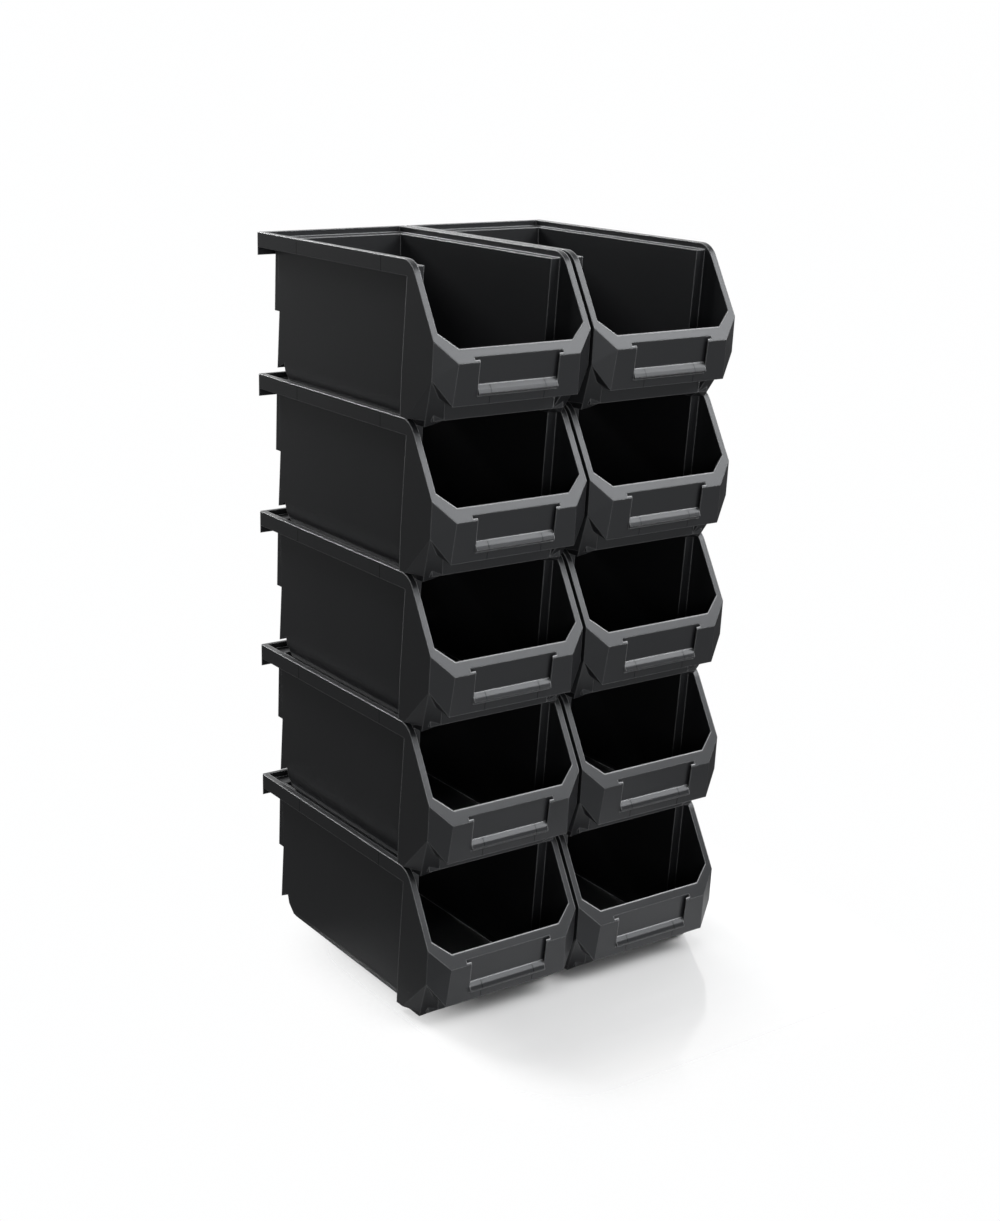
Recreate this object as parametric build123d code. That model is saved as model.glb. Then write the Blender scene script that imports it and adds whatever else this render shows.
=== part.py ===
from build123d import *
import os

# Sizes in mm. The bin frame has x across, y from front to back and z up from the floor.

# Rim
RIM_HALF = 70.0
RIM_TOP = 122.0
RIM_FLAT = 5.0
SKIRT_DEPTH = 12.3
SKIRT_WALL = 2.4
NEST_DEPTH = 5.0
LEDGE_THICK = 2.4
RIM_CORNER_RADIUS = 4.0

# Tub
WALL = 2.2
FLOOR_THICK = 2.4
TUB_FLOOR_HALF = 58.6
TUB_TOP_HALF = 59.0
TUB_EDGE = [(56.9, 0), (57.9, 1.6), (58.6, 4.9)]
FRONT_EDGE = [(38.0, 0), (17.0, 4.9)]
TUB_FRONT = 17.0
REAR_EDGE = [(231.5, 0), (235.0, 1.8), (236.8, 4.9)]
REAR_STEP = [(241.8, 9.2), (244.0, 16.0), (255.5, 10.7)]
REAR_WALL_MID_Y = 251.2
REAR_WALL_TOP_Y = 252.5

# Hanging lip at the back
LIP_Y = 270.0
LIP_CORNER_RADIUS = 2.5
HOOK_DEPTH = 18.9
CHEEK_TOP_Y = 256.5
CHEEK_LOW_Y = 259.0
CHEEK_Z = 58.0

# Open front
SHOULDER_Z = 67.0
MOUTH_SLOPE = 1.78
MOUTH_CORNER_RADIUS = 18.0
LIP_FRONT_HALF = 54.0
LIP_FRONT_Y = -9.2
CHEST_HALF = 56.0
CHEST_Y = -4.5
CHEST_Z = 18.6
KNEE_Y = 2.0
KNEE_Z = 38.4
POST_BACK_TOP_Y = 35.0
POST_BACK_KNEE_Y = 43.0
MOUTH_INNER_HALF = 50.5
MOUTH_INNER_Z = 60.6
MOUTH_INNER_KNEE_Z = 72.0

# Feet
FOOT_INNER_HALF = 49.0
FOOT_BROW_HALF = 54.8
FOOT_BROW_Y = 7.2
FOOT_BROW_Z = 23.2
FOOT_OUTER_HALF = 62.0
FOOT_FRONT_Y = 24.0
FOOT_BACK_Y = 44.0
FOOT_TOE_HALF = 51.5
FOOT_TOE_Y = 27.5
HEEL_FRONT_Y = 36.0
HEEL_BACK_Y = 44.8
RIM_CLEARANCE = 0.4

# Label holder
WINDOW_HALF = 35.4
SLOT_HALF = 39.5
WINDOW_Z = 25.5
WINDOW_DEPTH = 2.8
HOLDER_LIP = 1.2
BAR_OUTLINE = [
    (-2.5, 33.6), (-4.4, 33.4), (-6.8, 30.3), (-7.9, 27.4), (-7.6, 26.2), (-2.5, 26.2),
]

# Set of bins
ROWS = 5
COLUMN_GAP = 3.3
SIDES = {"left": -1, "right": 1}

# Sizes that follow from the ones above
LEDGE_Z = RIM_TOP - NEST_DEPTH
LEDGE_HALF = RIM_HALF - RIM_FLAT
SKIRT_Z = RIM_TOP - SKIRT_DEPTH
LIP_FRONT_Z = SHOULDER_Z + LIP_FRONT_Y * MOUTH_SLOPE
MOUTH_TOP_Y = (RIM_TOP - SHOULDER_Z) / MOUTH_SLOPE
COLUMN_PITCH = 2 * RIM_HALF + COLUMN_GAP
DEPTH_CENTRE = (LIP_Y + LIP_FRONT_Y) / 2
ABOVE = RIM_TOP + RIM_FLAT


def mouth_y(z):
    """Depth of the sloping mouth plane at height z."""
    return (z - SHOULDER_Z) / MOUTH_SLOPE


def chest_y(z):
    """Depth of the front panel at height z."""
    lean = (CHEST_Y - LIP_FRONT_Y) / (LIP_FRONT_Z - CHEST_Z)
    return LIP_FRONT_Y + (LIP_FRONT_Z - z) * lean


def tub_half(z):
    """Half width of the tub at height z, with its draft."""
    return TUB_FLOOR_HALF + (TUB_TOP_HALF - TUB_FLOOR_HALF) * z / RIM_TOP


def across(points, half):
    """Extrude a depth and height outline to both sides of the middle plane."""
    face = make_face(Plane.YZ * Polyline(*points, close=True))
    return extrude(face, amount=half, both=True)


def along(points, start, end):
    """Extrude a width and height outline from one depth to another."""
    outline = Polyline(*[(x, start, z) for x, z in points], close=True)
    return extrude(make_face(outline), amount=end - start, dir=(0, 1, 0))


def block(half, y_low, y_high, z_low, z_high):
    """Box across the middle plane between two depths and two heights."""
    centre = Pos(0, (y_low + y_high) / 2, (z_low + z_high) / 2)
    return centre * Box(2 * half, y_high - y_low, z_high - z_low)


def hull(points):
    """Convex body through points and their mirror images across the middle."""
    return ConvexPolyhedron(points + [(-x, y, z) for x, y, z in points])


def side_hull(side, points):
    """Convex body through points, on one side of the middle plane."""
    return ConvexPolyhedron([(side * x, y, z) for x, y, z in points])


def tub(inset, floor):
    """Tapered tub body, or its inside when set in by the wall."""
    edge = [(x - inset, z + floor) for x, z in TUB_EDGE]
    half = edge + [(tub_half(RIM_TOP) - inset, RIM_TOP)]
    section = half + [(-x, z) for x, z in reversed(half)]
    back = [(y - inset, z + floor) for y, z in REAR_EDGE + REAR_STEP]
    back += [
        (REAR_WALL_MID_Y - inset, CHEEK_Z),
        (REAR_WALL_TOP_Y - inset, RIM_TOP),
        (TUB_FRONT + inset, RIM_TOP),
    ]
    front = [(y + inset, z + floor) for y, z in reversed(FRONT_EDGE)]
    return along(section, TUB_FRONT, LIP_Y) & across(back + front, RIM_HALF)


def rim():
    """Rim with its skirt, stacking ledge and hanging lip."""
    skirt_half = RIM_HALF - SKIRT_WALL
    lip_inner = LIP_Y - SKIRT_WALL
    body = block(RIM_HALF, KNEE_Y, LIP_Y, SKIRT_Z, RIM_TOP)
    body += block(RIM_HALF, lip_inner, LIP_Y, RIM_TOP - HOOK_DEPTH, RIM_TOP)
    corners = body.edges().filter_by(Axis.Z).group_by(Axis.Y)[-1]
    body = fillet(corners, RIM_CORNER_RADIUS)
    body -= block(skirt_half, KNEE_Y, lip_inner, SKIRT_Z, LEDGE_Z - LEDGE_THICK)
    return body


def cheeks():
    """Two gussets between the rear wall and the hanging lip."""
    start = REAR_WALL_MID_Y - WALL
    outline = [
        (start, CHEEK_Z),
        (CHEEK_LOW_Y, CHEEK_Z),
        (CHEEK_TOP_Y, LEDGE_Z),
        (start, LEDGE_Z),
    ]
    outer = tub_half(CHEEK_Z)
    return across(outline, outer) - across(outline, outer - WALL)


def front_box():
    """Wide front end that carries the mouth, the chest panel and the knees."""
    return hull(
        [
            (RIM_HALF, MOUTH_TOP_Y, RIM_TOP),
            (RIM_HALF, POST_BACK_TOP_Y, RIM_TOP),
            (RIM_HALF, mouth_y(SHOULDER_Z), SHOULDER_Z),
            (LIP_FRONT_HALF, LIP_FRONT_Y, LIP_FRONT_Z),
            (RIM_HALF, KNEE_Y, KNEE_Z),
            (CHEST_HALF, CHEST_Y, CHEST_Z),
            (FOOT_INNER_HALF, TUB_FRONT + WALL, CHEST_Z),
            (RIM_HALF, POST_BACK_KNEE_Y, KNEE_Z),
        ]
    )


def leg_front(z):
    """Half width and depth of the leaning front edge of a leg at height z."""
    share = (KNEE_Z - z) / KNEE_Z
    half = RIM_HALF + (FOOT_OUTER_HALF - RIM_HALF) * share
    return half, KNEE_Y + (FOOT_FRONT_Y - KNEE_Y) * share


def foot(side):
    """One front foot: a leaning leg, and a plug that nests in a rim below."""
    low = NEST_DEPTH + RIM_CLEARANCE
    front_half, front_y = leg_front(low)
    leg = [
        (RIM_HALF, KNEE_Y, KNEE_Z),
        (RIM_HALF, POST_BACK_KNEE_Y, KNEE_Z),
        (RIM_HALF, HEEL_FRONT_Y, low),
        (RIM_HALF, HEEL_BACK_Y, low),
        (front_half, front_y, low),
        (FOOT_INNER_HALF, TUB_FRONT, low),
        (FOOT_BROW_HALF, FOOT_BROW_Y, FOOT_BROW_Z),
        (FOOT_INNER_HALF, HEEL_BACK_Y, low),
        (FOOT_INNER_HALF, POST_BACK_KNEE_Y, KNEE_Z),
    ]
    plug = [
        (front_half, front_y, low),
        (front_half, FOOT_BACK_Y, low),
        (FOOT_OUTER_HALF, FOOT_FRONT_Y, 0),
        (FOOT_OUTER_HALF, FOOT_BACK_Y, 0),
        (FOOT_TOE_HALF, FOOT_TOE_Y, 0),
        (FOOT_TOE_HALF, FOOT_BACK_Y, 0),
        (FOOT_INNER_HALF, TUB_FRONT, low),
        (FOOT_INNER_HALF, FOOT_BACK_Y, low),
    ]
    return side_hull(side, leg) + side_hull(side, plug)


def front_inside():
    """Space inside the front box, open through the sloping mouth."""
    lean = chest_y(CHEST_Z) - chest_y(MOUTH_INNER_Z)
    chest_floor = CHEST_Z + FLOOR_THICK
    back = POST_BACK_KNEE_Y - WALL
    inner_y = mouth_y(MOUTH_INNER_Z)
    return hull(
        [
            (LEDGE_HALF, KNEE_Y + WALL, ABOVE),
            (LEDGE_HALF, POST_BACK_TOP_Y - WALL, ABOVE),
            (LEDGE_HALF, mouth_y(MOUTH_INNER_KNEE_Z), MOUTH_INNER_KNEE_Z),
            (MOUTH_INNER_HALF, inner_y, MOUTH_INNER_Z),
            (LEDGE_HALF, KNEE_Y + 2 * WALL, KNEE_Z + WALL),
            (MOUTH_INNER_HALF, inner_y + lean, chest_floor),
            (FOOT_INNER_HALF - WALL, back, chest_floor),
            (LEDGE_HALF, back, KNEE_Z + WALL),
        ]
    )


def foot_inside(side):
    """Space inside one foot, above its own floor."""
    outer = FOOT_OUTER_HALF - WALL
    inner = FOOT_INNER_HALF - WALL
    back = FOOT_BACK_Y - WALL
    heel_floor = NEST_DEPTH + RIM_CLEARANCE + FLOOR_THICK
    points = [
        (LEDGE_HALF, KNEE_Y + 2 * WALL, KNEE_Z + WALL),
        (LEDGE_HALF, POST_BACK_KNEE_Y - WALL, KNEE_Z + WALL),
        (LEDGE_HALF, HEEL_FRONT_Y + WALL, heel_floor),
        (LEDGE_HALF, back, heel_floor),
        (outer, FOOT_FRONT_Y + 2 * WALL, FLOOR_THICK),
        (outer, back, FLOOR_THICK),
        (inner, FOOT_TOE_Y + WALL, FLOOR_THICK),
        (inner, TUB_FRONT + WALL, heel_floor),
        (inner, back, FLOOR_THICK),
        (inner, TUB_FRONT + WALL, KNEE_Z + WALL),
        (inner, POST_BACK_KNEE_Y - WALL, KNEE_Z + WALL),
    ]
    return side_hull(side, points)


def envelope():
    """Side outline of the whole bin, with both ends of the rim rounded."""
    low_y = LIP_FRONT_Y - RIM_FLAT
    low_z = SHOULDER_Z + low_y * MOUTH_SLOPE
    line = Polyline(
        (low_y, 0), (LIP_Y, 0), (LIP_Y, RIM_TOP), (MOUTH_TOP_Y, RIM_TOP), (low_y, low_z),
        close=True,
    )
    face = make_face(line)
    end = [v for v in face.vertices() if abs(v.Y - RIM_TOP) < WALL and v.X < POST_BACK_TOP_Y]
    face = fillet(end, MOUTH_CORNER_RADIUS)
    rear = face.vertices().group_by(Axis.X)[-1].sort_by(Axis.Y)[-1]
    face = fillet(rear, LIP_CORNER_RADIUS)
    return extrude(Plane.YZ * face, amount=RIM_HALF, both=True)


def panel_cut(half, front, depth):
    """Cut behind the front panel face, from the window bottom up through the mouth."""
    bottom = WINDOW_Z
    outline = [
        (chest_y(bottom) + front, bottom),
        (chest_y(bottom) + depth, bottom),
        (chest_y(SHOULDER_Z) + depth, SHOULDER_Z),
        (chest_y(SHOULDER_Z) + front, SHOULDER_Z),
    ]
    return across(outline, half)


def label_bar():
    """Sloping bar that stops the label, with a flat underside proud of the panel."""
    return across(BAR_OUTLINE, WINDOW_HALF)


def make_bin():
    """One complete bin, standing on its floor."""
    body = rim() + tub(0, 0) + cheeks() + front_box() + foot(-1) + foot(1)
    body &= envelope()
    body -= tub(WALL, FLOOR_THICK)
    body -= front_inside()
    body -= foot_inside(-1) + foot_inside(1)
    body -= block(LEDGE_HALF, KNEE_Y, LIP_Y - RIM_FLAT, LEDGE_Z, ABOVE)
    body -= panel_cut(WINDOW_HALF, -RIM_FLAT, WINDOW_DEPTH)
    body -= panel_cut(SLOT_HALF, HOLDER_LIP, WINDOW_DEPTH)
    body += label_bar()
    return body


def export_set():
    """Write every bin of the two columns at its place in the set."""
    one = make_bin()
    os.makedirs("parts", exist_ok=True)
    for name, side in SIDES.items():
        for row in range(ROWS):
            place = Pos(side * COLUMN_PITCH / 2, -DEPTH_CENTRE, row * LEDGE_Z)
            export_step(place * one, f"parts/bin_{name}_{row + 1}.step")


export_set()
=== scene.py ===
"""Surfaces, floor, studio light and camera for the stack of ten storage bins."""
import math

import bpy
from mathutils import Matrix, Vector


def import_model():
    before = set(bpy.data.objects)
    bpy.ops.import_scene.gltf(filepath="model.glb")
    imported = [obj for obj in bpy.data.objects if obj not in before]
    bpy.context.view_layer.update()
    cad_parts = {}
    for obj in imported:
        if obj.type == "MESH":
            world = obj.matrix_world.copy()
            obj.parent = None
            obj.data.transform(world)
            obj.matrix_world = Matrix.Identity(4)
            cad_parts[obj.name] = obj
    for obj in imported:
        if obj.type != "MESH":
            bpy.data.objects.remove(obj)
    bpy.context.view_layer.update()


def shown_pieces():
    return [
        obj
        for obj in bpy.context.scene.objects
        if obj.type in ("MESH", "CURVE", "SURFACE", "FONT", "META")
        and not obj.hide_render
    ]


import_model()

# Sizes in metres, in the part's own frame
ROW_PITCH = 0.117
COLUMN_HALF = 0.07165
FRONT_SHIFT = 0.1304

# Fine mould lines, in the frame of one bin
RIM_TOP = 0.122
RIM_SIDE = 0.0698
SKIRT_BOTTOM = 0.1097
RIM_LINE_DEPTHS = (0.0728, 0.2015)
PANEL_LINE_HALF = 0.0244
PANEL_LINE_BACK = -0.0024
PANEL_LINE_TOP = 0.034
LINE_HALF_WIDTH = 0.0003

# Bin plastic: colours in linear light, and ranges from the first to the second value
PLASTIC_DARK = (0.0085, 0.0088, 0.0098, 1)
PLASTIC_LIGHT = (0.0120, 0.0124, 0.0134, 1)
# Pale edge colour: wear plus painted highlight on the edges
WEAR_AND_HIGHLIGHT_COLOUR = (0.54, 0.548, 0.56, 1)
SHEEN_TINT = (0.94, 0.965, 1.0, 1)
PLASTIC_ROUGHNESS = (0.30, 0.42)
PLAIN_SHEEN, LINE_SHEEN = 0.4, 0.03
GRAIN = {"Scale": 2600.0, "Detail": 3.0, "Roughness": 0.6}
FLOW = {"Scale": 14.0, "Detail": 4.0, "Roughness": 0.55}
DUST = {"Scale": 420.0, "Detail": 5.0, "Roughness": 0.7}
GRAIN_STRENGTH, GRAIN_HEIGHT = 0.12, 0.00015

# Edges: the radius of the soft normal, and the cosine above which a bend gets neither wear nor
# painted highlight
EDGE_RADIUS, EDGE_SAMPLES = 0.0013, 4
PLAIN_BEND = 0.975
LEAST_DUST = 0.6
# Wear and painted highlight on an upright edge, and how much more painted highlight an edge that
# faces up gets
WEAR_AND_HIGHLIGHT_GAIN, HIGHLIGHT_GAIN_UP = 1.6, 5.0
WEAR_AND_HIGHLIGHT_MOST, HIGHLIGHT_MOST_UP = 0.27, 0.90

# Floor: the opaque rectangle and the width of its soft border
FLOOR_SIZE = 12
FLOOR_CENTRE = (0.05, -0.10)
FLOOR_HALF = (0.12, 0.10)
FLOOR_FADE = 0.12
FLOOR_COLOUR = (0.82, 0.823, 0.826, 1)
FLOOR_ROUGHNESS = (0.07, 0.11)
FLOOR_SHEEN = 0.45
FLOOR_CLOUD = {"Scale": 3.0, "Detail": 2.0}

# Studio: even fill, then patches as direction, start and end of the fall-off, and strength
BACKDROP = (0.996, 0.997, 0.999, 1)
FILL = 0.10
GLOWS = [
    ((0.35, 0.85, 0.39), 0.50, 0.92, 1.1),
    ((0.03, -0.92, -0.38), 0.50, 0.86, 0.50),
    ((-0.50, 0.42, -0.76), 0.88, 0.98, 0.30),
]

# Soft panels: azimuth and elevation in degrees, distance, width and height, and watts
LIGHT_TARGET = Vector((0, 0, 0.3))
LIGHTS = {
    "key": (43, 40, 2.4, (1.7, 1.3), 62),
    "top": (-60, 80, 2.2, (1.6, 1.6), 14),
    "front": (-20, 8, 2.6, (1.2, 0.9), 17),
    "behind": (-165, 35, 2.4, (1.0, 0.8), 48),
    "left": (-88, -4, 2.4, (0.35, 1.6), 7),
}

# Camera: place, axes, and lens in mm, as fitted to the photograph
CAMERA_PLACE = (-0.8777, -1.27676, 0.73786)
CAMERA_RIGHT = (0.8235, -0.567083, 0.016274)
CAMERA_UP = (0.105492, 0.181251, 0.977763)
CAMERA_BACK = (-0.557422, -0.80347, 0.209083)
LENS, SENSOR = 57.046, 36
SHIFT_Y = -0.12
CLIP_START, CLIP_END = 0.05, 30


def feed(tree, socket, value):
    """Link a socket to an input, or set a plain value on it."""
    if isinstance(value, bpy.types.NodeSocket):
        tree.links.new(value, socket)
    else:
        socket.default_value = value


def math_node(tree, operation, *values):
    """Add a math node whose inputs are sockets or plain values."""
    n = tree.nodes.new("ShaderNodeMath")
    n.operation = operation
    for socket, value in zip(n.inputs, values):
        feed(tree, socket, value)
    return n.outputs[0]


def vector_value(tree, operation, *vectors):
    """Add a vector math node that gives a single value."""
    n = tree.nodes.new("ShaderNodeVectorMath")
    n.operation = operation
    for socket, vector in zip(n.inputs, vectors):
        feed(tree, socket, vector)
    return n.outputs["Value"]


def product(tree, *masks):
    """Multiply any number of masks."""
    total = masks[0]
    for mask in masks[1:]:
        total = math_node(tree, "MULTIPLY", total, mask)
    return total


def split(tree, vector):
    """Give the x, y and z of a vector."""
    n = tree.nodes.new("ShaderNodeSeparateXYZ")
    tree.links.new(vector, n.inputs[0])
    return n.outputs[:3]


def coordinates(tree, kind):
    """Give the texture coordinates of one kind."""
    return tree.nodes.new("ShaderNodeTexCoord").outputs[kind]


def noise(tree, settings, place=None):
    """Add a noise texture."""
    n = tree.nodes.new("ShaderNodeTexNoise")
    for key, value in settings.items():
        n.inputs[key].default_value = value
    if place:
        tree.links.new(place, n.inputs["Vector"])
    return n.outputs["Fac"]


def ramp(tree, value, low, high, start=0.0, end=1.0, kind="LINEAR"):
    """Lead from low to high while a value goes from start to end."""
    n = tree.nodes.new("ShaderNodeMapRange")
    n.interpolation_type = kind
    n.inputs["From Min"].default_value = start
    n.inputs["From Max"].default_value = end
    n.inputs["To Min"].default_value = low
    n.inputs["To Max"].default_value = high
    tree.links.new(value, n.inputs["Value"])
    return n.outputs["Result"]


def blend(tree, factor, first, second):
    """Mix two colours."""
    n = tree.nodes.new("ShaderNodeMix")
    n.data_type = "RGBA"
    feed(tree, n.inputs["A"], first)
    feed(tree, n.inputs["B"], second)
    tree.links.new(factor, n.inputs["Factor"])
    return n.outputs["Result"]


def mix_shaders(tree, factor, first, second):
    """Mix two shaders."""
    n = tree.nodes.new("ShaderNodeMixShader")
    for socket, value in zip(n.inputs, (factor, first, second)):
        tree.links.new(value, socket)
    return n.outputs[0]


def new_material(name):
    """Give a material, its node tree and its main shader."""
    mat = bpy.data.materials.new(name)
    mat.use_nodes = True
    return mat, mat.node_tree, mat.node_tree.nodes["Principled BSDF"]


def witness_lines(tree, place):
    """Mask of the fine mould lines: two down the front panel, two across each rim side."""
    x, y, z = split(tree, place)
    off = math_node(tree, "SUBTRACT", math_node(tree, "ABSOLUTE", x), COLUMN_HALF)
    half = math_node(tree, "ABSOLUTE", off)
    depth = math_node(tree, "ADD", y, FRONT_SHIFT)
    height = math_node(tree, "MODULO", z, ROW_PITCH)
    panel = product(
        tree,
        math_node(tree, "COMPARE", half, PANEL_LINE_HALF, LINE_HALF_WIDTH),
        math_node(tree, "LESS_THAN", depth, PANEL_LINE_BACK),
        math_node(tree, "LESS_THAN", height, PANEL_LINE_TOP),
    )
    near, far = (
        math_node(tree, "COMPARE", depth, at, LINE_HALF_WIDTH) for at in RIM_LINE_DEPTHS
    )
    # The top of a rim reaches past the pitch, into the lowest part of the next row
    upper = math_node(tree, "GREATER_THAN", height, SKIRT_BOTTOM)
    wrapped = math_node(tree, "LESS_THAN", height, RIM_TOP - ROW_PITCH)
    rim = product(
        tree,
        math_node(tree, "ADD", near, far),
        math_node(tree, "GREATER_THAN", half, RIM_SIDE),
        math_node(tree, "ADD", upper, wrapped),
    )
    return math_node(tree, "ADD", panel, rim)


def edge_wear_and_highlight(tree, rounded, dust):
    """Mask of the sharp edges, paled as wear and as painted highlight; stronger where they face up,
    as painted highlight.
    """
    flat = tree.nodes.new("ShaderNodeNewGeometry").outputs["Normal"]
    bend = math_node(tree, "SUBTRACT", PLAIN_BEND, vector_value(tree, "DOT_PRODUCT", rounded, flat))
    edge = math_node(tree, "MAXIMUM", bend, 0.0)
    worn_and_lit = math_node(tree, "MULTIPLY", edge, math_node(tree, "ADD", dust, LEAST_DUST))
    # Edges that face up get more painted highlight, as if lit from above
    rise = math_node(tree, "MAXIMUM", split(tree, rounded)[2], 0.0)
    gain = math_node(tree, "MULTIPLY_ADD", rise, HIGHLIGHT_GAIN_UP, WEAR_AND_HIGHLIGHT_GAIN)
    most = math_node(tree, "MULTIPLY_ADD", rise, HIGHLIGHT_MOST_UP, WEAR_AND_HIGHLIGHT_MOST)
    return math_node(tree, "MINIMUM", math_node(tree, "MULTIPLY", worn_and_lit, gain), most)


def bin_plastic():
    """Satin dark grey moulded plastic: fine grain, soft sheen, edges paled by wear and by painted
    highlight.
    """
    mat, tree, shader = new_material("bin_plastic")
    place = coordinates(tree, "Object")
    grain = noise(tree, GRAIN, place)
    flow = noise(tree, FLOW, place)
    dust = noise(tree, DUST, place)

    soft = tree.nodes.new("ShaderNodeBevel")
    soft.samples = EDGE_SAMPLES
    soft.inputs["Radius"].default_value = EDGE_RADIUS
    rounded = soft.outputs[0]
    bump = tree.nodes.new("ShaderNodeBump")
    bump.inputs["Strength"].default_value = GRAIN_STRENGTH
    bump.inputs["Distance"].default_value = GRAIN_HEIGHT
    tree.links.new(grain, bump.inputs["Height"])
    tree.links.new(rounded, bump.inputs["Normal"])

    base = blend(tree, flow, PLASTIC_DARK, PLASTIC_LIGHT)
    # Edges mixed toward a pale grey: wear plus painted highlight
    paint = blend(tree, edge_wear_and_highlight(tree, rounded, dust), base, WEAR_AND_HIGHLIGHT_COLOUR)
    sheen = ramp(tree, witness_lines(tree, place), PLAIN_SHEEN, LINE_SHEEN)
    tree.links.new(paint, shader.inputs["Base Color"])
    tree.links.new(ramp(tree, dust, *PLASTIC_ROUGHNESS), shader.inputs["Roughness"])
    tree.links.new(bump.outputs["Normal"], shader.inputs["Normal"])
    tree.links.new(sheen, shader.inputs["Specular IOR Level"])
    shader.inputs["Specular Tint"].default_value = SHEEN_TINT
    return mat


def paint_bins():
    """Give every bin the moulded plastic."""
    plastic = bin_plastic()
    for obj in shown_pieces():
        obj.data.materials.clear()
        obj.data.materials.append(plastic)


def edge_distance(tree, centre, half):
    """Distance on the floor from a rectangle round the front of the stack."""
    place = split(tree, coordinates(tree, "Object"))
    gap = tree.nodes.new("ShaderNodeCombineXYZ")
    for i in range(2):
        off = math_node(tree, "SUBTRACT", place[i], centre[i])
        beyond = math_node(tree, "SUBTRACT", math_node(tree, "ABSOLUTE", off), half[i])
        tree.links.new(math_node(tree, "MAXIMUM", beyond, 0.0), gap.inputs[i])
    return vector_value(tree, "LENGTH", gap.outputs[0])


def floor_material():
    """Plain pale surface with a soft gloss, clear beyond its soft border."""
    mat, tree, shader = new_material("pale_floor")
    roughness = ramp(tree, noise(tree, FLOOR_CLOUD), *FLOOR_ROUGHNESS)
    tree.links.new(roughness, shader.inputs["Roughness"])
    shader.inputs["Base Color"].default_value = FLOOR_COLOUR
    shader.inputs["Specular IOR Level"].default_value = FLOOR_SHEEN

    away = edge_distance(tree, FLOOR_CENTRE, FLOOR_HALF)
    fade = ramp(tree, away, 0.0, 1.0, end=FLOOR_FADE, kind="SMOOTHSTEP")
    clear = tree.nodes.new("ShaderNodeBsdfTransparent")
    surface = mix_shaders(tree, fade, shader.outputs[0], clear.outputs[0])
    tree.links.new(surface, tree.nodes["Material Output"].inputs["Surface"])
    return mat


def stage():
    """Pale floor under the lowest bins."""
    bpy.ops.mesh.primitive_plane_add(size=FLOOR_SIZE, location=(0, 0, 0))
    floor = bpy.context.object
    floor.name = "stage_floor"
    floor.data.materials.append(floor_material())


def glow(tree, direction, start, end, strength):
    """Soft patch of light on the studio walls round one direction."""
    place = coordinates(tree, "Generated")
    toward = vector_value(tree, "DOT_PRODUCT", place, Vector(direction).normalized())
    return ramp(tree, toward, 0.0, strength, start, end, "SMOOTHSTEP")


def background(tree, colour, strength):
    """Add a background shader."""
    n = tree.nodes.new("ShaderNodeBackground")
    n.inputs["Color"].default_value = colour
    feed(tree, n.inputs["Strength"], strength)
    return n.outputs[0]


def world():
    """Pale background to the camera, and a dim studio with pale walls for the rest."""
    w = bpy.data.worlds.new("studio")
    bpy.context.scene.world = w
    w.use_nodes = True
    tree = w.node_tree
    tree.nodes.clear()
    level = FILL
    for patch in GLOWS:
        level = math_node(tree, "ADD", glow(tree, *patch), level)
    walls = background(tree, (1, 1, 1, 1), level)
    backdrop = background(tree, BACKDROP, 1.0)
    seen = tree.nodes.new("ShaderNodeLightPath").outputs["Is Camera Ray"]
    out = tree.nodes.new("ShaderNodeOutputWorld")
    tree.links.new(mix_shaders(tree, seen, walls, backdrop), out.inputs["Surface"])


def area_light(name, azimuth, elevation, distance, size, power):
    """Soft panel that looks at the middle of the stack."""
    a, e = math.radians(azimuth), math.radians(elevation)
    way = Vector((math.sin(a) * math.cos(e), -math.cos(a) * math.cos(e), math.sin(e)))
    data = bpy.data.lights.new(name, "AREA")
    data.shape = "RECTANGLE"
    data.size, data.size_y = size
    data.energy = power
    obj = bpy.data.objects.new(name, data)
    bpy.context.scene.collection.objects.link(obj)
    obj.location = LIGHT_TARGET + way * distance
    obj.rotation_mode = "QUATERNION"
    obj.rotation_quaternion = (-way).to_track_quat("-Z", "Y")


def camera():
    """Camera at the photograph's viewing angle."""
    data = bpy.data.cameras.new("camera")
    data.sensor_fit = "AUTO"
    data.sensor_width = SENSOR
    data.lens = LENS
    data.shift_y = SHIFT_Y
    data.clip_start, data.clip_end = CLIP_START, CLIP_END
    obj = bpy.data.objects.new("camera", data)
    bpy.context.scene.collection.objects.link(obj)
    turn = Matrix((CAMERA_RIGHT, CAMERA_UP, CAMERA_BACK)).transposed()
    obj.rotation_mode = "QUATERNION"
    obj.rotation_quaternion = turn.to_quaternion()
    obj.location = CAMERA_PLACE
    bpy.context.scene.camera = obj


paint_bins()
stage()
world()
for light, settings in LIGHTS.items():
    area_light(light, *settings)
camera()
scene = bpy.context.scene
scene.view_settings.view_transform = "Standard"
